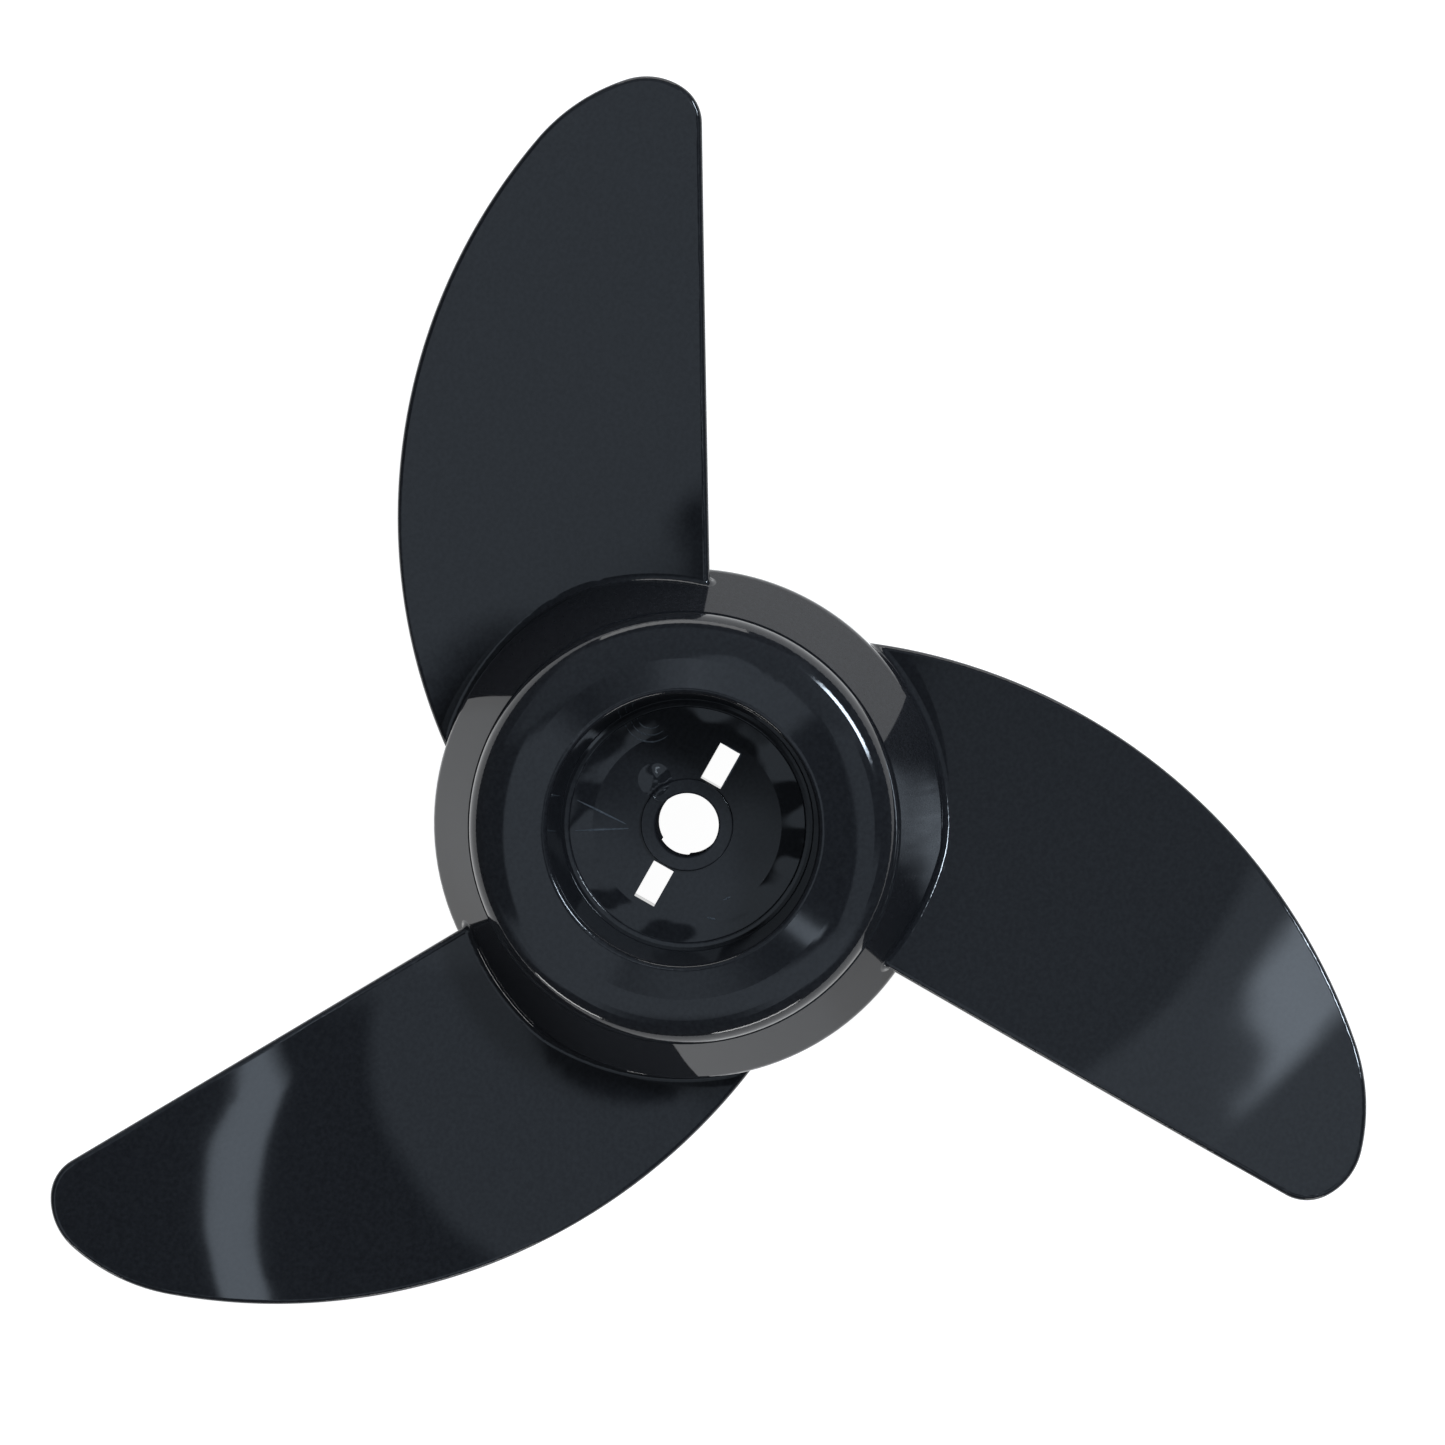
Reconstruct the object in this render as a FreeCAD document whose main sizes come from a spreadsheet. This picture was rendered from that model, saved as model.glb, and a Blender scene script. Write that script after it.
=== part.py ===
import FreeCAD, Part
import math
import os
import Sketcher

# Three-blade propeller of an electric trolling motor, in millimetres, nut side up.
# The origin is on the shaft axis in the plane of the motor-side rim, +Z points towards
# the propeller nut and +X runs along the drive-pin slot.

SIZES = {
    # outside of the hub: a straight collar, a conical skirt and a crowned nose ring
    "hub_radius": 42,
    "wall": 3,
    "rim_face": 0,
    "collar_top": 16,
    "rim_height": 18,
    "rim_rounding": 4,
    "skirt_top": 32.7,
    "skirt_top_radius": 35.2,
    "nose_radius": 34.9,
    "nose_shoulder": 36.7,
    "nose_crown_radius": 29.3,
    "nose_crown": 38.5,
    "nose_height": 39.5,
    "nose_underside": 36.2,
    "nose_land_radius": 25,
    "crown_rounding": 20,
    "shoulder_rounding": 4.2,
    # recess for the nut
    "lip_radius": 22,
    "lip_rounding": 0.9,
    "recess_seam_radius": 21.62,
    "recess_foot_radius": 20.1,
    "recess_foot_height": 22.5,
    "foot_rounding": 0.3,
    "recess_wall_radius": 23.4,
    "recess_wall_top_radius": 24.6,
    "floor_radius": 19.3,
    "floor_height": 21.5,
    "web_underside": 18.5,
    # middle of the hub, where the shaft and its drive pin go
    "boss_radius": 15.5,
    "boss_bottom": 9,
    "bore_radius": 5.2,
    "seat_radius": 7.6,
    "seat_top": 22.1,
    "seat_rounding": 0.25,
    "pin_slot_width": 5.2,
    "pin_slot_top": 15,
    "window_width": 3.7,
    "window_inner": 7.8,
    "window_outer": 14.4,
    "rib_thickness": 2.2,
    "rib_inner_bottom": 10,
    "rib_outer_bottom": 8.2,
    # blade face: a helix whose generator leans towards the nut as it goes outwards
    "blade_pitch": 85,
    "blade_root_height": 22.5,
    "blade_span": 80,
    "blade_rise": 14.9,
    "blade_easing": 6.6,
    "blade_edge_thickness": 1.8,
    "blade_root_thickness": 4.4,
    "blade_root_chord_angle": 70,
    "blade_tip_chord_angle": 6,
    "blade_edge_rounding": 0.8,
    "blade_root_fillet": 1.2,
    # blade outline seen along the shaft: a straight trailing edge, then four tangent arcs
    "trailing_angle": 88,
    "trailing_base_offset": 3.86,
    "trailing_base_reach": 36,
    "trailing_end_offset": 2.92,
    "trailing_end_reach": 114.2,
    "corner_radius": 7.1,
    "corner_sweep": 55.3,
    "tip_radius": 10.8,
    "tip_sweep": 50.8,
    "shoulder_radius": 31.7,
    "shoulder_sweep": 32,
    "leading_radius": 96.6,
    "leading_sweep": 65.5,
    # the first blade's trailing edge, turned from +Y to its place beside the pin slot
    "first_blade_turn": 60.5,
}

BLADE_COUNT = 3
RIB_COUNT = 6

# A blade's faces are interpolated through a polar grid that is wider than its outline.
GRID_FIRST_REACH = 28
GRID_REACH_STEP = 12
GRID_REACHES = 10
GRID_FIRST_ANGLE = -14
GRID_ANGLE_STEP = 7
GRID_ANGLES = 15
SEWING_TOLERANCE = 0.001

# How near an edge has to lie to a surface to count as being on it.
SEAM_GAP = 0.01
SEAM_SAMPLES = 5


def make_sheet(doc):
    """The driving dimensions, one alias to a row."""
    sheet = doc.addObject("Spreadsheet::Sheet", "Sizes")
    for row, (name, value) in enumerate(SIZES.items(), start=1):
        sheet.set("A%d" % row, name)
        sheet.set("B%d" % row, str(value))
        sheet.setAlias("B%d" % row, name)
    doc.recompute()
    return sheet


def origin_plane(body, role):
    """One of the body's own origin planes."""
    return next(plane for plane in body.Origin.OriginFeatures if plane.Role == role)


def bind_point(sketch, line, end, across, up):
    """Holds one end of a sketch line at two distances from the sketch's origin."""
    for kind, expression in (("DistanceX", across), ("DistanceY", up)):
        value = float(sketch.evalExpression(expression))
        index = sketch.addConstraint(Sketcher.Constraint(kind, -1, 1, line, end, value))
        sketch.setExpression("Constraints[%d]" % index, expression)


def draw_polygon(sketch, corners):
    """A closed outline whose corners are pairs of expressions in the sheet's names."""
    points = []
    for across, up in corners:
        x = float(sketch.evalExpression(across))
        y = float(sketch.evalExpression(up))
        points.append(FreeCAD.Vector(x, y, 0))
    count = len(points)
    for i in range(count):
        sketch.addGeometry(Part.LineSegment(points[i], points[(i + 1) % count]), False)
    for i in range(count):
        sketch.addConstraint(Sketcher.Constraint("Coincident", i, 2, (i + 1) % count, 1))
    for i, (across, up) in enumerate(corners):
        bind_point(sketch, i, 1, across, up)


def body_sketch(body, name, role):
    """An empty sketch on one of the body's origin planes."""
    sketch = body.newObject("Sketcher::SketchObject", name)
    sketch.AttachmentSupport = (origin_plane(body, role), [""])
    sketch.MapMode = "FlatFace"
    return sketch


def revolved_body(doc, label, corners):
    """A ring about the shaft axis from an outline of (radius, height) corners."""
    body = doc.addObject("PartDesign::Body", label)
    body.Label = label
    sketch = body_sketch(body, label + "_section", "XZ_Plane")
    doc.recompute()
    draw_polygon(sketch, corners)
    turn = body.newObject("PartDesign::Revolution", label + "_turn")
    turn.Profile = sketch
    turn.ReferenceAxis = (sketch, ["V_Axis"])
    turn.Angle = 360
    doc.recompute()
    return body


def circle_edge(shape, radius, height):
    """The number of the round edge about the shaft axis with this radius and height."""
    for number, edge in enumerate(shape.Edges, start=1):
        if not isinstance(edge.Curve, Part.Circle):
            continue
        lift = abs(edge.Curve.Center.z - height)
        if abs(edge.Curve.Radius - radius) < SEAM_GAP and lift < SEAM_GAP:
            return number
    raise ValueError("no round edge at radius %s, height %s" % (radius, height))


def round_edge(doc, body, radius_name, height_name, rounding_name):
    """Rounds the round edge at a radius and height that the sheet names."""
    sheet = doc.Sizes
    base = body.Tip
    number = circle_edge(base.Shape, getattr(sheet, radius_name), getattr(sheet, height_name))
    fillet = body.newObject("PartDesign::Fillet", body.Label + "_" + rounding_name)
    fillet.Base = (base, ["Edge%d" % number])
    fillet.setExpression("Radius", "Sizes." + rounding_name)
    doc.recompute()


def cut_pocket(doc, body, name, corners, start, length):
    """Cuts a flat-ended pocket upwards from a start height and checks that it removed something."""
    before = body.Shape.Volume
    sketch = body_sketch(body, name + "_outline", "XY_Plane")
    sketch.setExpression("AttachmentOffset.Base.z", start)
    doc.recompute()
    draw_polygon(sketch, corners)
    pocket = body.newObject("PartDesign::Pocket", name)
    pocket.Profile = sketch
    pocket.Reversed = True
    pocket.setExpression("Length", length)
    doc.recompute()
    if body.Shape.Volume >= before:
        raise ValueError(name + " cut nothing")


def make_motor_collar(doc):
    """Straight wall that runs over the end of the motor housing."""
    return revolved_body(doc, "motor_collar", [
        ("Sizes.hub_radius - Sizes.wall", "Sizes.rim_face"),
        ("Sizes.hub_radius", "Sizes.rim_face"),
        ("Sizes.hub_radius", "Sizes.collar_top"),
        ("Sizes.hub_radius - Sizes.wall", "Sizes.collar_top"),
    ])


def make_hub_skirt(doc):
    """Conical wall from the rim up to the nose ring."""
    body = revolved_body(doc, "hub_skirt", [
        ("Sizes.hub_radius - Sizes.wall", "Sizes.collar_top"),
        ("Sizes.hub_radius", "Sizes.collar_top"),
        ("Sizes.hub_radius", "Sizes.rim_height"),
        ("Sizes.skirt_top_radius", "Sizes.skirt_top"),
        ("Sizes.skirt_top_radius - Sizes.wall", "Sizes.skirt_top"),
        ("Sizes.hub_radius - Sizes.wall", "Sizes.rim_height"),
    ])
    round_edge(doc, body, "hub_radius", "rim_height", "rim_rounding")
    return body


def make_nose_ring(doc):
    """Crowned ring that faces the nut side, with a rounded shoulder and a rounded lip."""
    body = revolved_body(doc, "nose_ring", [
        ("Sizes.nose_radius - Sizes.wall", "Sizes.skirt_top"),
        ("Sizes.nose_radius", "Sizes.skirt_top"),
        ("Sizes.nose_radius", "Sizes.nose_shoulder"),
        ("Sizes.nose_crown_radius", "Sizes.nose_crown"),
        ("Sizes.lip_radius", "Sizes.nose_height"),
        ("Sizes.recess_seam_radius", "Sizes.nose_underside"),
        ("Sizes.nose_land_radius", "Sizes.nose_underside"),
        ("Sizes.nose_radius - Sizes.wall", "Sizes.nose_shoulder - Sizes.wall"),
    ])
    round_edge(doc, body, "nose_radius", "nose_shoulder", "shoulder_rounding")
    round_edge(doc, body, "nose_crown_radius", "nose_crown", "crown_rounding")
    round_edge(doc, body, "lip_radius", "nose_height", "lip_rounding")
    return body


def make_recess_wall(doc):
    """Tapered wall of the nut recess, with a small rounded step at its foot."""
    body = revolved_body(doc, "recess_wall", [
        ("Sizes.floor_radius", "Sizes.floor_height"),
        ("Sizes.recess_wall_radius", "Sizes.floor_height"),
        ("Sizes.recess_wall_top_radius", "Sizes.nose_underside"),
        ("Sizes.recess_seam_radius", "Sizes.nose_underside"),
        ("Sizes.recess_foot_radius", "Sizes.recess_foot_height"),
        ("Sizes.floor_radius", "Sizes.recess_foot_height"),
    ])
    round_edge(doc, body, "floor_radius", "recess_foot_height", "foot_rounding")
    return body


def make_recess_floor(doc):
    """Flat web between the drive boss and the recess wall."""
    return revolved_body(doc, "recess_floor", [
        ("Sizes.boss_radius", "Sizes.web_underside"),
        ("Sizes.recess_wall_radius", "Sizes.web_underside"),
        ("Sizes.recess_wall_radius", "Sizes.floor_height"),
        ("Sizes.boss_radius", "Sizes.floor_height"),
    ])


def make_drive_boss(doc):
    """Middle boss with the shaft bore, the drive-pin slot across its motor side and two windows."""
    body = revolved_body(doc, "drive_boss", [
        ("Sizes.bore_radius", "Sizes.boss_bottom"),
        ("Sizes.boss_radius", "Sizes.boss_bottom"),
        ("Sizes.boss_radius", "Sizes.floor_height"),
        ("Sizes.bore_radius", "Sizes.floor_height"),
    ])
    cut_pocket(doc, body, "drive_pin_slot", [
        ("-Sizes.boss_radius - Sizes.wall", "-Sizes.pin_slot_width / 2"),
        ("Sizes.boss_radius + Sizes.wall", "-Sizes.pin_slot_width / 2"),
        ("Sizes.boss_radius + Sizes.wall", "Sizes.pin_slot_width / 2"),
        ("-Sizes.boss_radius - Sizes.wall", "Sizes.pin_slot_width / 2"),
    ], "Sizes.boss_bottom", "Sizes.pin_slot_top - Sizes.boss_bottom")
    for side, name in ((1, "window_right"), (-1, "window_left")):
        cut_pocket(doc, body, name, [
            ("%d * Sizes.window_inner" % side, "-%d * Sizes.window_width / 2" % side),
            ("%d * Sizes.window_outer" % side, "-%d * Sizes.window_width / 2" % side),
            ("%d * Sizes.window_outer" % side, "%d * Sizes.window_width / 2" % side),
            ("%d * Sizes.window_inner" % side, "%d * Sizes.window_width / 2" % side),
        ], "Sizes.pin_slot_top", "Sizes.floor_height - Sizes.pin_slot_top")
    return body


def make_nut_seat(doc):
    """Low raised ring round the bore that the washer and nut bear on."""
    body = revolved_body(doc, "nut_seat", [
        ("Sizes.bore_radius", "Sizes.floor_height"),
        ("Sizes.seat_radius", "Sizes.floor_height"),
        ("Sizes.seat_radius", "Sizes.seat_top"),
        ("Sizes.bore_radius", "Sizes.seat_top"),
    ])
    round_edge(doc, body, "seat_radius", "seat_top", "seat_rounding")
    return body


def make_ribs(doc):
    """Radial ribs on the motor side that carry the boss from the skirt."""
    space = revolved_body(doc, "rib_space", [
        ("Sizes.boss_radius", "Sizes.rib_inner_bottom"),
        ("Sizes.hub_radius - Sizes.wall", "Sizes.rib_outer_bottom"),
        ("Sizes.hub_radius - Sizes.wall", "Sizes.rim_height"),
        ("Sizes.skirt_top_radius - Sizes.wall", "Sizes.skirt_top"),
        ("Sizes.nose_radius - Sizes.wall", "Sizes.skirt_top"),
        ("Sizes.nose_radius - Sizes.wall", "Sizes.nose_shoulder - Sizes.wall"),
        ("Sizes.nose_land_radius", "Sizes.nose_underside"),
        ("Sizes.recess_wall_top_radius", "Sizes.nose_underside"),
        ("Sizes.recess_wall_radius", "Sizes.floor_height"),
        ("Sizes.recess_wall_radius", "Sizes.web_underside"),
        ("Sizes.boss_radius", "Sizes.web_underside"),
    ])
    ribs = []
    for number in range(1, RIB_COUNT + 1):
        turn = 360 / RIB_COUNT * (number - 0.5)
        plate = doc.addObject("Part::Box", "rib_plate_%d" % number)
        plate.setExpression("Length", "Sizes.hub_radius")
        plate.setExpression("Width", "Sizes.rib_thickness")
        plate.setExpression("Height", "Sizes.nose_height")
        lead = FreeCAD.Placement()
        lead.Base = FreeCAD.Vector(0, -doc.Sizes.rib_thickness / 2, 0)
        spin = FreeCAD.Placement(FreeCAD.Vector(), FreeCAD.Rotation(FreeCAD.Vector(0, 0, 1), turn))
        plate.Placement = spin.multiply(lead)
        rib = doc.addObject("Part::Common", "motor_side_rib_%d" % number)
        rib.Label = rib.Name
        rib.Base = space
        rib.Tool = plate
        ribs.append(rib)
    doc.recompute()
    return ribs


def blade_face_height(sheet, reach, angle):
    """Height of the blade's middle surface at a radius and an angle past the trailing edge."""
    outward = (reach - sheet.hub_radius) / sheet.blade_span
    helix = sheet.blade_pitch * angle / 360
    lean = sheet.blade_rise * outward - sheet.blade_easing * outward ** 2
    return sheet.blade_root_height - helix + lean


def blade_thickness(sheet, reach, angle):
    """Thickest in the middle of the chord and at the root, even along the edges and the tip."""
    outward = min(1, max(0, (reach - sheet.hub_radius) / sheet.blade_span))
    middle = sheet.blade_root_thickness * (1 - outward) + sheet.blade_edge_thickness * outward
    chord = sheet.blade_root_chord_angle * (1 - outward) + sheet.blade_tip_chord_angle
    across = min(1, max(0, angle / chord))
    swell = math.sin(math.pi * across) ** 2
    return sheet.blade_edge_thickness + (middle - sheet.blade_edge_thickness) * swell


def blade_skin(sheet, lower):
    """The nut-side face of a blade, or its motor-side face, well past the outline on all sides."""
    reaches = [GRID_FIRST_REACH + GRID_REACH_STEP * i for i in range(GRID_REACHES)]
    angles = [GRID_FIRST_ANGLE + GRID_ANGLE_STEP * i for i in range(GRID_ANGLES)]
    rows = []
    for reach in reaches:
        row = []
        for angle in angles:
            height = blade_face_height(sheet, reach, angle) + sheet.blade_edge_thickness / 2
            if lower:
                height -= blade_thickness(sheet, reach, angle)
            heading = math.radians(sheet.trailing_angle + angle)
            row.append(FreeCAD.Vector(reach * math.cos(heading), reach * math.sin(heading), height))
        rows.append(row)
    skin = Part.BSplineSurface()
    skin.interpolate(rows)
    return skin.toShape()


def make_blade_slab(doc):
    """A twisted slab between the blade's two faces, from which the outline is cut."""
    top = blade_skin(doc.Sizes, False)
    bottom = blade_skin(doc.Sizes, True)
    sides = [Part.makeRuledSurface(low, high) for low, high in zip(bottom.Edges, top.Edges)]
    shell = Part.makeShell([top, bottom] + sides)
    shell.sewShape()
    solid = Part.Solid(shell)
    solid.fixTolerance(SEWING_TOLERANCE)
    slab = doc.addObject("Part::Feature", "blade_slab")
    slab.Shape = solid
    return slab


def add_arc(sketch, start, heading, radius, sweep):
    """An arc that bears left from a start point and heading. Returns its end and new heading."""
    centre = start + FreeCAD.Vector(-math.sin(heading), math.cos(heading), 0) * radius
    circle = Part.Circle(centre, FreeCAD.Vector(0, 0, 1), radius)
    first = heading - math.pi / 2
    sketch.addGeometry(Part.ArcOfCircle(circle, first, first + sweep), False)
    turned = heading + sweep
    end = centre + FreeCAD.Vector(math.sin(turned), -math.cos(turned), 0) * radius
    return end, turned


def make_blade_outline(doc):
    """The outline of a blade along the shaft: trailing edge, corner, tip, shoulder, leading edge."""
    sheet = doc.Sizes
    sketch = doc.addObject("Sketcher::SketchObject", "blade_outline")
    base = FreeCAD.Vector(sheet.trailing_base_offset, sheet.trailing_base_reach, 0)
    point = FreeCAD.Vector(sheet.trailing_end_offset, sheet.trailing_end_reach, 0)
    sketch.addGeometry(Part.LineSegment(base, point), False)
    bind_point(sketch, 0, 1, "Sizes.trailing_base_offset", "Sizes.trailing_base_reach")
    bind_point(sketch, 0, 2, "Sizes.trailing_end_offset", "Sizes.trailing_end_reach")
    heading = math.atan2(point.y - base.y, point.x - base.x)
    for number, stretch in enumerate(("corner", "tip", "shoulder", "leading"), start=1):
        radius = getattr(sheet, stretch + "_radius")
        sweep = math.radians(getattr(sheet, stretch + "_sweep"))
        point, heading = add_arc(sketch, point, heading, radius, sweep)
        sketch.addConstraint(Sketcher.Constraint("Tangent", number - 1, 2, number, 1))
        held = sketch.addConstraint(Sketcher.Constraint("Radius", number, radius))
        sketch.setExpression("Constraints[%d]" % held, "Sizes.%s_radius" % stretch)
        held = sketch.addConstraint(Sketcher.Constraint("Angle", number, sweep))
        sketch.setExpression("Constraints[%d]" % held, "Sizes.%s_sweep * 1 deg" % stretch)
    closing = sketch.addGeometry(Part.LineSegment(point, base), False)
    sketch.addConstraint(Sketcher.Constraint("Coincident", closing - 1, 2, closing, 1))
    sketch.addConstraint(Sketcher.Constraint("Coincident", closing, 2, 0, 1))
    doc.recompute()
    return sketch


def boolean(doc, kind, name, base, tool):
    """A Part::Common, Part::Fuse or Part::Cut of two objects."""
    result = doc.addObject("Part::" + kind, name)
    result.Base = base
    result.Tool = tool
    result.Refine = False
    doc.recompute()
    return result


def rounded(doc, name, base, numbers, radius):
    """Rounds the numbered edges of an object."""
    result = doc.addObject("Part::Fillet", name)
    result.Base = base
    result.Edges = [(number, radius, radius) for number in numbers]
    doc.recompute()
    return result


def make_hub_envelope(doc):
    """The outside of the hub as a plain solid, which the blade roots are cut to fit."""
    sheet = doc.Sizes
    collar = doc.addObject("Part::Cylinder", "envelope_collar")
    collar.setExpression("Radius", "Sizes.hub_radius")
    collar.setExpression("Height", "Sizes.rim_height + Sizes.wall")
    collar.setExpression("Placement.Base.z", "-Sizes.wall")
    cone = doc.addObject("Part::Cone", "envelope_cone")
    cone.setExpression("Radius1", "Sizes.hub_radius")
    cone.setExpression("Radius2", "Sizes.skirt_top_radius")
    cone.setExpression("Height", "Sizes.skirt_top - Sizes.rim_height")
    cone.setExpression("Placement.Base.z", "Sizes.rim_height")
    doc.recompute()
    sharp = boolean(doc, "Fuse", "envelope_sharp", collar, cone)
    rim = circle_edge(sharp.Shape, sheet.hub_radius, sheet.rim_height)
    return rounded(doc, "hub_envelope", sharp, [rim], sheet.rim_rounding)


def make_blade_prism(doc):
    """The outline extruded along the shaft, higher and lower than the blade."""
    prism = doc.addObject("Part::Extrusion", "blade_prism")
    prism.Base = make_blade_outline(doc)
    prism.DirMode = "Custom"
    prism.Dir = FreeCAD.Vector(0, 0, 1)
    prism.Solid = True
    prism.setExpression("LengthFwd", "Sizes.nose_height + Sizes.wall")
    prism.setExpression("LengthRev", "Sizes.wall")
    return prism


def rim_edges(shape, hub_radius):
    """The long edges round a blade's two faces, apart from the one inside the hub."""
    numbers = []
    for number, edge in enumerate(shape.Edges, start=1):
        middle = edge.CenterOfMass
        buried = math.hypot(middle.x, middle.y) < hub_radius
        if not isinstance(edge.Curve, Part.Line) and not buried:
            numbers.append(number)
    return numbers


def seam_edges(joined, first, second):
    """The edges of a fused shape that lie on the outsides of both of its pieces."""
    numbers = []
    for number, edge in enumerate(joined.Edges, start=1):
        step = (edge.LastParameter - edge.FirstParameter) / (SEAM_SAMPLES - 1)
        points = [edge.valueAt(edge.FirstParameter + step * i) for i in range(SEAM_SAMPLES)]
        gaps = [
            shape.Shells[0].distToShape(Part.Vertex(point))[0]
            for point in points
            for shape in (first, second)
        ]
        if max(gaps) < SEAM_GAP:
            numbers.append(number)
    return numbers


def make_blade_pattern(doc):
    """One blade pointing along +Y, with rounded edges and a fillet where it joins the hub."""
    sheet = doc.Sizes
    slab = make_blade_slab(doc)
    rough = boolean(doc, "Common", "blade_rough", slab, make_blade_prism(doc))
    edges = rim_edges(rough.Shape, sheet.hub_radius)
    blade = rounded(doc, "blade_rounded", rough, edges, sheet.blade_edge_rounding)
    hub = make_hub_envelope(doc)
    joined = boolean(doc, "Fuse", "blade_on_hub", blade, hub)
    edges = seam_edges(joined.Shape, blade.Shape, hub.Shape)
    filleted = rounded(doc, "blade_with_fillet", joined, edges, sheet.blade_root_fillet)
    return boolean(doc, "Cut", "blade_pattern", filleted, hub)


def make_blades(doc):
    """Three equal blades spaced evenly round the hub."""
    pattern = make_blade_pattern(doc)
    blades = []
    for number in range(BLADE_COUNT):
        turn = 360 / BLADE_COUNT * number - doc.Sizes.first_blade_turn
        blade = doc.addObject("Part::Feature", "blade_%d" % (number + 1))
        blade.Label = blade.Name
        blade.Shape = pattern.Shape.copy()
        axis = FreeCAD.Vector(0, 0, 1)
        blade.Placement = FreeCAD.Placement(FreeCAD.Vector(), FreeCAD.Rotation(axis, turn))
        blades.append(blade)
    return blades


def check_document(doc):
    """Stops on any object that failed to rebuild."""
    for item in doc.Objects:
        if "Invalid" in item.State or "Error" in item.State:
            raise ValueError("%s: %s" % (item.Name, item.State))


def write_parts(items):
    """One STEP file to each sub-part, named by its label."""
    os.makedirs("parts", exist_ok=True)
    for item in items:
        shape = item.Shape
        if shape.isNull() or not shape.isValid():
            raise ValueError(item.Label + " has no valid shape")
        shape.exportStep("parts/%s.step" % item.Label)


doc = FreeCAD.newDocument("propeller")
make_sheet(doc)
items = [
    make_motor_collar(doc),
    make_hub_skirt(doc),
    make_nose_ring(doc),
    make_recess_wall(doc),
    make_recess_floor(doc),
    make_drive_boss(doc),
    make_nut_seat(doc),
]
items += make_ribs(doc)
items += make_blades(doc)
check_document(doc)
write_parts(items)
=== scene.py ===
import math

import bpy
from mathutils import Matrix, Vector
from mathutils.bvhtree import BVHTree


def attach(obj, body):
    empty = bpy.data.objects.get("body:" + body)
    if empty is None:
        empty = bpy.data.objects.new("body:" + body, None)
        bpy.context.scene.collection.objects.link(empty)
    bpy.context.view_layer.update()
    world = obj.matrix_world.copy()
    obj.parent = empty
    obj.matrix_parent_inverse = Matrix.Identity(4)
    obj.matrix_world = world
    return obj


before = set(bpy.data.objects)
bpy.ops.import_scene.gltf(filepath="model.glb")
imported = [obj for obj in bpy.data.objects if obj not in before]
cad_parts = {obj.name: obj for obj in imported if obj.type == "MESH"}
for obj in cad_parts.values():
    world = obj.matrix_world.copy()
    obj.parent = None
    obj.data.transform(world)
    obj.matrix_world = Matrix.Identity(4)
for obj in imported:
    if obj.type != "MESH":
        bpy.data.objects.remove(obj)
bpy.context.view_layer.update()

MM = 0.001

# The camera looks nearly straight down the shaft, nut side up, from a metre away. The turn is how
# far the part is rolled in the picture, and the rim's offset places it in the frame.
PICTURE_TURN = math.radians(60.5)
CAMERA_DISTANCE = 1.0
CAMERA_LEAN_UP = 0.0267
CAMERA_LEAN_SIDE = -0.0361
RIM_HEIGHT = 18 * MM
RIM_OFFSET = (-5.6725 * MM, -16.673 * MM)
SENSOR_WIDTH = 36
LENS = 151.37

BODY = "root"


def picture_direction(right, up):
    """A unit direction above the object, from its rightward and upward shares in the picture."""
    out = math.sqrt(max(0, 1 - right ** 2 - up ** 2))
    return Matrix.Rotation(-PICTURE_TURN, 3, "Z") @ Vector((right, up, out))


def make_camera():
    """The camera at the picture's place, angle and roll."""
    turn = Matrix.Rotation(CAMERA_LEAN_SIDE, 4, "Y") @ Matrix.Rotation(CAMERA_LEAN_UP, 4, "X")
    turn = turn @ Matrix.Rotation(PICTURE_TURN, 4, "Z")
    place = Matrix.Translation((RIM_OFFSET[0], RIM_OFFSET[1], -CAMERA_DISTANCE))
    to_camera = place @ turn @ Matrix.Translation((0, 0, -RIM_HEIGHT))
    data = bpy.data.cameras.new("camera")
    data.sensor_width = SENSOR_WIDTH
    data.lens = LENS
    camera = bpy.data.objects.new("camera", data)
    camera.matrix_world = to_camera.inverted()
    bpy.context.scene.collection.objects.link(camera)
    bpy.context.scene.camera = camera


# ---------------------------------------------------------------- light

# The studio is a dim room with a few soft boxes of one cool light colour, placed by direction.
# Each is a soft-edged rectangle, in front of the ones before it: how far right and up its middle
# is, its half width and half height, its turn in degrees, the softness of its edges as a share of
# the half sizes, and its brightness. They are aimed so that each blade shows its bright bands.
LIGHT_COLOUR = (0.86, 1.00, 1.16)
SOFT_BOXES = [
    ("lower_wall", 0.00, -0.46, 0.45, 0.10, 0, 0.8, 0.55),
    ("ceiling", 0.00, 0.50, 0.50, 0.25, 0, 0.3, 0.25),
    ("key_lamp", 0.57, 0.37, 0.03, 0.09, 33, 1.2, 34.0),
    ("left_screen", -0.31, -0.13, 0.15, 0.25, -8, 0.3, 0.55),
    ("upper_box", 0.058, 0.211, 0.12, 0.11, 39, 0.2, 0.60),
    ("upper_lamp", 0.01, 0.212, 0.028, 0.008, -29, 1.0, 3.4),
    ("right_screen", 0.44, -0.06, 0.10, 0.26, 10, 0.3, 0.40),
    ("overhead_box", -0.02, -0.10, 0.07, 0.045, 0, 0.6, 0.55),
    ("strip_box", 0.173, -0.226, 0.07, 0.014, -25, 0.4, 2.1),
]
ROOM_BASE = (0.04, 0.045, 0.05)

# Lights: name, azimuth anticlockwise in the picture from its right, height above the horizon,
# width and height in metres, and brightness as seen in the plastic.
LIGHT_DISTANCE = 1.4
LIGHTS = [
    ("low_window_left", 235, 7, (0.50, 0.12), 9),
    ("low_window_right", 288, 7, (0.60, 0.12), 9),
    ("far_wall", 95, 9, (1.10, 0.40), 2.6),
]


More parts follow.
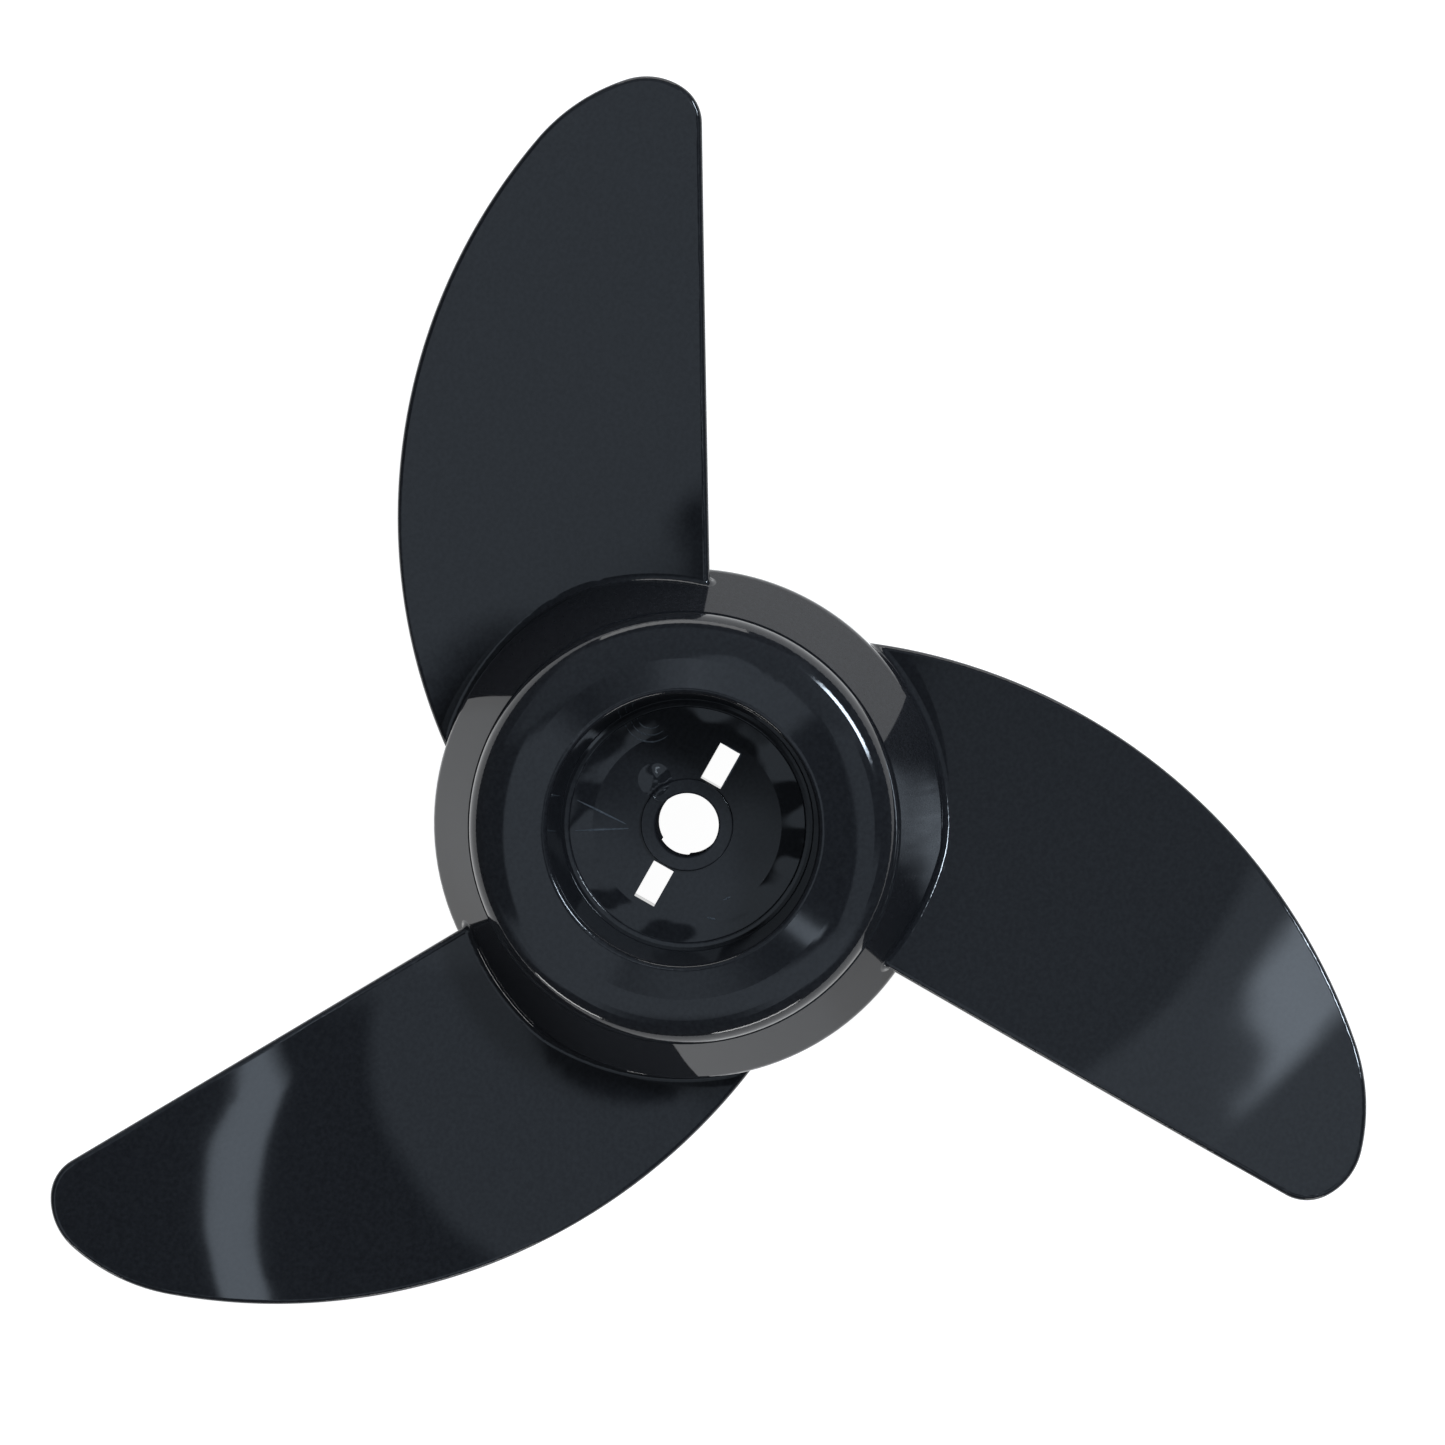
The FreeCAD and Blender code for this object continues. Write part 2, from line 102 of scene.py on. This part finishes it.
def add_soft_box(tree, place, behind, box):
    """Puts one soft-edged rectangle in front of the colour behind it. Returns the new colour."""
    name, right, up, half_width, half_height, turn, softness, brightness = box
    nodes, links = tree.nodes, tree.links
    fit = nodes.new("ShaderNodeMapping")
    fit.vector_type = "TEXTURE"
    fit.inputs["Location"].default_value = (right, up, 0)
    fit.inputs["Rotation"].default_value = (0, 0, math.radians(turn))
    fit.inputs["Scale"].default_value = (half_width, half_height, 1)
    links.new(place, fit.inputs["Vector"])
    size = nodes.new("ShaderNodeVectorMath")
    size.operation = "ABSOLUTE"
    links.new(fit.outputs["Vector"], size.inputs[0])
    edge = nodes.new("ShaderNodeMapRange")
    edge.data_type = "FLOAT_VECTOR"
    edge.interpolation_type = "SMOOTHSTEP"
    # the vector range's four sockets share their names with the number range's, so go by place
    from_min, from_max, to_min, to_max = edge.inputs[7:11]
    from_min.default_value = (1 + softness, 1 + softness, 2)
    from_max.default_value = (1, 1, 1)
    to_min.default_value = (0, 0, 0)
    to_max.default_value = (1, 1, 1)
    links.new(size.outputs["Vector"], edge.inputs["Vector"])
    split = nodes.new("ShaderNodeSeparateXYZ")
    links.new(edge.outputs["Vector"], split.inputs["Vector"])
    cover = nodes.new("ShaderNodeMath")
    cover.operation = "MULTIPLY"
    links.new(split.outputs["X"], cover.inputs[0])
    links.new(split.outputs["Y"], cover.inputs[1])
    paint = nodes.new("ShaderNodeMixRGB")
    paint.name = name
    colour = [brightness * share for share in LIGHT_COLOUR]
    paint.inputs["Color2"].default_value = (*colour, 1)
    links.new(cover.outputs["Value"], paint.inputs["Fac"])
    links.new(behind, paint.inputs["Color1"])
    return paint.outputs["Color"]


def make_world():
    """The dim studio with its soft boxes."""
    world = bpy.data.worlds.new("studio")
    world.use_nodes = True
    tree = world.node_tree
    nodes, links = tree.nodes, tree.links
    nodes.clear()
    output = nodes.new("ShaderNodeOutputWorld")
    background = nodes.new("ShaderNodeBackground")
    links.new(background.outputs[0], output.inputs["Surface"])
    direction = nodes.new("ShaderNodeTexCoord")
    turned = nodes.new("ShaderNodeVectorRotate")
    turned.rotation_type = "Z_AXIS"
    turned.inputs["Angle"].default_value = PICTURE_TURN
    links.new(direction.outputs["Generated"], turned.inputs["Vector"])
    base = nodes.new("ShaderNodeCombineXYZ")
    for axis in range(3):
        base.inputs[axis].default_value = ROOM_BASE[axis]
    colour = base.outputs[0]
    for box in SOFT_BOXES:
        colour = add_soft_box(tree, turned.outputs["Vector"], colour, box)
    links.new(colour, background.inputs["Color"])
    bpy.context.scene.world = world


def make_light(name, azimuth, elevation, size, brightness):
    """A rectangular light aimed at the hub, as bright as the given radiance."""
    data = bpy.data.lights.new(name, "AREA")
    data.shape = "RECTANGLE"
    data.size, data.size_y = size
    data.energy = brightness * math.pi * size[0] * size[1]
    light = bpy.data.objects.new(name, data)
    flat = math.cos(math.radians(elevation))
    turn = math.radians(azimuth)
    away = picture_direction(flat * math.cos(turn), flat * math.sin(turn))
    light.location = away * LIGHT_DISTANCE
    light.rotation_euler = away.to_track_quat("Z", "Y").to_euler()
    light.visible_camera = False
    bpy.context.scene.collection.objects.link(light)


def make_lights():
    """Two low windows and a far wall, which the steep edges reflect."""
    for light in LIGHTS:
        make_light(*light)


# ---------------------------------------------------------------- materials

def distance_ramp(tree, place, near, far, near_value, far_value):
    """A smooth change of value between two distances from the shaft axis, in metres."""
    away = tree.nodes.new("ShaderNodeVectorMath")
    away.operation = "LENGTH"
    tree.links.new(place, away.inputs[0])
    ramp = tree.nodes.new("ShaderNodeMapRange")
    ramp.interpolation_type = "SMOOTHSTEP"
    ramp.inputs["From Min"].default_value = near
    ramp.inputs["From Max"].default_value = far
    ramp.inputs["To Min"].default_value = near_value
    ramp.inputs["To Max"].default_value = far_value
    tree.links.new(away.outputs["Value"], ramp.inputs["Value"])
    return ramp.outputs["Result"]


FLOOR_SIZE = 12
FLOOR_HEIGHT = -0.2 * MM
FLOOR_GREY = 0.35
FLOOR_GLOW = 0.97


def make_floor():
    """A plain white floor, lit evenly like a light table."""
    bpy.ops.mesh.primitive_plane_add(size=FLOOR_SIZE, location=(0, 0, FLOOR_HEIGHT))
    floor = bpy.context.object
    floor.name = "floor"
    material = bpy.data.materials.new("floor_white")
    material.use_nodes = True
    shader = material.node_tree.nodes["Principled BSDF"]
    shader.inputs["Base Color"].default_value = (FLOOR_GREY, FLOOR_GREY, FLOOR_GREY, 1)
    shader.inputs["Roughness"].default_value = 0.9
    shader.inputs["Specular IOR Level"].default_value = 0.1
    shader.inputs["Emission Color"].default_value = (1, 1, 1, 1)
    shader.inputs["Emission Strength"].default_value = FLOOR_GLOW
    floor.data.materials.append(material)


def add_noise(tree, place, scale, detail):
    """Cloudy noise over the object. Returns its factor."""
    noise = tree.nodes.new("ShaderNodeTexNoise")
    noise.inputs["Scale"].default_value = scale
    noise.inputs["Detail"].default_value = detail
    tree.links.new(place, noise.inputs["Vector"])
    return noise.outputs["Fac"]


def map_noise(tree, noise, low, high, to_low, to_high):
    """Stretches a noise factor to another range."""
    span = tree.nodes.new("ShaderNodeMapRange")
    span.inputs["From Min"].default_value = low
    span.inputs["From Max"].default_value = high
    span.inputs["To Min"].default_value = to_low
    span.inputs["To Max"].default_value = to_high
    tree.links.new(noise, span.inputs["Value"])
    return span.outputs["Result"]


PLASTIC_IOR = 1.5
PLASTIC_DARK = (0.0145, 0.0150, 0.0175, 1)
PLASTIC_LIGHT = (0.0215, 0.0225, 0.0255, 1)
SPECKLE_SCALE = 1400
HAZE_SCALE = 60
HAZE = 0.03
NOSE_HAZE = 0.055
# Surface ripples: scale of the noise and height in metres.
FINE_RIPPLE = (45, 0.05 * MM)
FLOOR_RIPPLE = (85, 0.6 * MM)
# A stand-in, lower than a real plastic's, that keeps the skirt from mirroring the floor too brightly.
SKIRT_IOR = 1.22
# The lighter colours of the fine ridges are a painted highlight, standing in for the glints the
# ridges catch.
RIDGE_HIGHLIGHT_DARK = (0.055, 0.065, 0.075, 1)
RIDGE_HIGHLIGHT_LIGHT = (0.10, 0.115, 0.13, 1)
# Distances from the shaft axis between which the boss goes from no gloss to full gloss.
BORE_MATT = 5.3 * MM
BORE_GLOSSY = 5.6 * MM


def make_plastic(name, ripple, haze=HAZE):
    """Glossy blue-black moulded plastic: a fine speckle, faint haze and a slow surface ripple."""
    ripple_scale, ripple_height = ripple
    material = bpy.data.materials.new(name)
    material.use_nodes = True
    tree = material.node_tree
    links = tree.links
    shader = tree.nodes["Principled BSDF"]
    shader.inputs["IOR"].default_value = PLASTIC_IOR
    place = tree.nodes.new("ShaderNodeTexCoord").outputs["Object"]

    tint = tree.nodes.new("ShaderNodeValToRGB")
    tint.color_ramp.elements[0].position = 0.3
    tint.color_ramp.elements[0].color = PLASTIC_DARK
    tint.color_ramp.elements[1].position = 0.7
    tint.color_ramp.elements[1].color = PLASTIC_LIGHT
    links.new(add_noise(tree, place, SPECKLE_SCALE, 2), tint.inputs["Fac"])
    links.new(tint.outputs["Color"], shader.inputs["Base Color"])
    gloss = map_noise(tree, add_noise(tree, place, HAZE_SCALE, 4), 0.3, 0.75, haze, 1.8 * haze)
    links.new(gloss, shader.inputs["Roughness"])

    bump = tree.nodes.new("ShaderNodeBump")
    bump.inputs["Strength"].default_value = 1
    bump.inputs["Distance"].default_value = ripple_height
    links.new(add_noise(tree, place, ripple_scale, 1), bump.inputs["Height"])
    links.new(bump.outputs["Normal"], shader.inputs["Normal"])
    return material


def make_bored_plastic():
    """The plastic of the middle boss, with no gloss on the bore's walls, beside the bright floor."""
    material = make_plastic("bored_plastic", FINE_RIPPLE)
    tree = material.node_tree
    shader = tree.nodes["Principled BSDF"]
    place = tree.nodes.new("ShaderNodeTexCoord").outputs["Object"]
    flat = tree.nodes.new("ShaderNodeVectorMath")
    flat.operation = "MULTIPLY"
    flat.inputs[1].default_value = (1, 1, 0)
    tree.links.new(place, flat.inputs[0])
    gloss = distance_ramp(tree, flat.outputs["Vector"], BORE_MATT, BORE_GLOSSY, 0, 0.5)
    tree.links.new(gloss, shader.inputs["Specular IOR Level"])
    return material


def make_skirt_plastic():
    """The plastic of the hub's drafted sides, a little less shiny than the polished faces."""
    material = make_plastic("skirt_plastic", FINE_RIPPLE)
    shader = material.node_tree.nodes["Principled BSDF"]
    shader.inputs["IOR"].default_value = SKIRT_IOR
    return material


def make_ridge_highlight_plastic():
    """Plastic lighter than the moulded skin: a painted highlight that stands in for the glints along
    the fine ridges.
    """
    material = make_plastic("ridge_highlight_plastic", FINE_RIPPLE)
    nodes = material.node_tree.nodes
    tint = nodes["Color Ramp"].color_ramp
    tint.elements[0].color = RIDGE_HIGHLIGHT_DARK
    tint.elements[1].color = RIDGE_HIGHLIGHT_LIGHT
    return material


def dress_frame(plastic, others):
    """Gives every CAD node the plastic, or its own version of it."""
    for name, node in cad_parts.items():
        node.data.materials.clear()
        node.data.materials.append(others.get(name, plastic))


# ---------------------------------------------------------------- moulding marks

# Above the highest point of the part, where the search for its surface starts.
SEARCH_HEIGHT = 0.06


def cad_surface():
    """All CAD nodes as one searchable surface."""
    corners = []
    faces = []
    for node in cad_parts.values():
        first = len(corners)
        corners += [node.matrix_world @ vertex.co for vertex in node.data.vertices]
        faces += [[first + index for index in face.vertices] for face in node.data.polygons]
    return BVHTree.FromPolygons(corners, faces)


def on_surface(surface, right, up):
    """The visible point of the part at this many millimetres right of and above the shaft axis."""
    place = Matrix.Rotation(-PICTURE_TURN, 3, "Z") @ Vector((right * MM, up * MM, SEARCH_HEIGHT))
    return surface.ray_cast(place, Vector((0, 0, -1)))[0:2]


def add_piece(name, corners, faces, material):
    """A smooth mesh piece that belongs to the propeller's body."""
    mesh = bpy.data.meshes.new(name)
    mesh.from_pydata(corners, [], faces)
    mesh.shade_smooth()
    mesh.materials.append(material)
    piece = bpy.data.objects.new(name, mesh)
    bpy.context.scene.collection.objects.link(piece)
    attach(piece, BODY)


RIDGE_SIDES = 6
# How far a mark's edge lies under the surface, in millimetres.
SINK = 0.02


def add_ridge(name, surface, path, width, height, material):
    """A fine raised line along the path, tapering to nothing at both ends. Sizes in millimetres."""
    corners = []
    faces = []
    count = len(path)
    for step in range(count):
        point, normal = on_surface(surface, *path[step])
        before = on_surface(surface, *path[max(step - 1, 0)])[0]
        after = on_surface(surface, *path[min(step + 1, count - 1)])[0]
        side = normal.cross(after - before).normalized()
        taper = math.sin(math.pi * (step + 0.5) / count) ** 0.5
        for turn in range(RIDGE_SIDES + 1):
            angle = math.pi * turn / RIDGE_SIDES
            across = 0.5 * width * taper * math.cos(angle)
            rise = height * taper * math.sin(angle) - SINK
            corners.append(point + (across * side + rise * normal) * MM)
    row = RIDGE_SIDES + 1
    for step in range(count - 1):
        for turn in range(RIDGE_SIDES):
            corner = step * row + turn
            faces.append((corner, corner + row, corner + row + 1, corner + 1))
    add_piece(name, corners, faces, material)


def arc_path(right, up, radius, start, end, steps):
    """Points on an arc, angles in degrees anticlockwise from the picture's right."""
    points = []
    for step in range(steps + 1):
        angle = math.radians(start + (end - start) * step / steps)
        points.append((right + radius * math.cos(angle), up + radius * math.sin(angle)))
    return points


def line_path(start, end, steps):
    """Points on a straight line."""
    points = []
    for step in range(steps + 1):
        share = step / steps
        points.append(tuple(a + (b - a) * share for a, b in zip(start, end)))
    return points


MOUND_RINGS = 10
MOUND_SPOKES = 40


def add_mound(name, surface, right, up, radius, height, material):
    """A low smooth swelling of the surface. Sizes in millimetres."""
    corners = []
    faces = []
    for ring in range(MOUND_RINGS + 1):
        share = max(ring, 0.02) / MOUND_RINGS
        rise = height * 0.5 * (1 + math.cos(math.pi * share)) - SINK
        for spoke in range(MOUND_SPOKES):
            angle = 2 * math.pi * spoke / MOUND_SPOKES
            there = (right + radius * share * math.cos(angle), up + radius * share * math.sin(angle))
            point, normal = on_surface(surface, *there)
            corners.append(point + rise * normal * MM)
    for ring in range(MOUND_RINGS):
        for spoke in range(MOUND_SPOKES):
            after = (spoke + 1) % MOUND_SPOKES
            inner = ring * MOUND_SPOKES
            outer = inner + MOUND_SPOKES
            faces.append((inner + spoke, outer + spoke, outer + after, inner + after))
    add_piece(name, corners, faces, material)


# Moulding marks in the nut recess, in millimetres right of and above the shaft axis.
RIPPLE_CENTRE = (-6.0, 18.0)
RIPPLE_RADII = (2.2, 3.3, 4.4)
RIPPLE_ARC = (190, 330, 18)
GATE_CENTRE = (-4.3, 5.3)
GATE_RADIUS = 1.4
GATE_ARC = (40, 330, 30)
MOUND_CENTRE = (-5.3, 7.4)
MOUND_RADIUS = 3.3
MOUND_HEIGHT = 0.30
WINDOW_REACH = (7.8, 14.5)
WINDOW_HALF_WIDTH = 2.0
# Each mark's width and height, in millimetres.
RIPPLE_RIDGE = (0.35, 0.03)
GATE_RIDGE = (0.4, 0.08)
LIP_RIDGE = (0.3, 0.05)
FLOW_RIDGE = (0.35, 0.04)
FLOW_LINE_STEPS = 14
# The flow lines and scuffs are raised ridges; their lighter colour is a painted highlight.
FLOW_LINES = {
    "flow_line_upper": ((-18.6, 4.3), (-9.4, -0.2)),
    "flow_line_lower": ((-19.0, -1.0), (-9.0, -0.6)),
    "scuff_highlight_right": ((5.8, -12.4), (7.2, -11.8)),
    "scuff_highlight_low": ((3.2, -15.2), (4.8, -15.6)),
}


def window_lip_path():
    """The outer end and right side of the upper window, which lies along the picture's turn."""
    along = Vector((math.cos(PICTURE_TURN), math.sin(PICTURE_TURN)))
    across = Vector((along.y, -along.x)) * WINDOW_HALF_WIDTH
    inner, outer = WINDOW_REACH
    corners = (outer * along - across, outer * along + across, inner * along + across)
    return line_path(corners[0], corners[1], 6) + line_path(corners[1], corners[2], 10)[1:]


def add_marks(plastic, ridge_highlight):
    """The gate mark and mound, ripples, burr, flow lines and scuffs in the nut recess. The ripples,
    window lip, flow lines and scuffs are drawn in the lighter plastic, a painted highlight.
    """
    surface = cad_surface()
    for number, radius in enumerate(RIPPLE_RADII, 1):
        path = arc_path(*RIPPLE_CENTRE, radius, *RIPPLE_ARC)
        add_ridge("cooling_ripple_%d" % number, surface, path, *RIPPLE_RIDGE, ridge_highlight)
    gate = arc_path(*GATE_CENTRE, GATE_RADIUS, *GATE_ARC)
    add_ridge("gate_mark", surface, gate, *GATE_RIDGE, plastic)
    add_mound("gate_mound", surface, *MOUND_CENTRE, MOUND_RADIUS, MOUND_HEIGHT, plastic)
    add_ridge("window_lip", surface, window_lip_path(), *LIP_RIDGE, ridge_highlight)
    for name, (start, end) in FLOW_LINES.items():
        path = line_path(start, end, FLOW_LINE_STEPS)
        add_ridge(name, surface, path, *FLOW_RIDGE, ridge_highlight)


make_camera()
make_world()
make_lights()
make_floor()
plastic = make_plastic("blue_black_plastic", FINE_RIPPLE)
bored_plastic = make_bored_plastic()
skirt_plastic = make_skirt_plastic()
own_plastic = {
    "drive_boss": bored_plastic,
    "nut_seat": bored_plastic,
    "nose_ring": make_plastic("nose_plastic", FINE_RIPPLE, NOSE_HAZE),
    "recess_floor": make_plastic("recess_plastic", FLOOR_RIPPLE),
    "hub_skirt": skirt_plastic,
    "motor_collar": skirt_plastic,
}
dress_frame(plastic, own_plastic)
add_marks(plastic, make_ridge_highlight_plastic())
bpy.context.scene.view_settings.view_transform = "Standard"
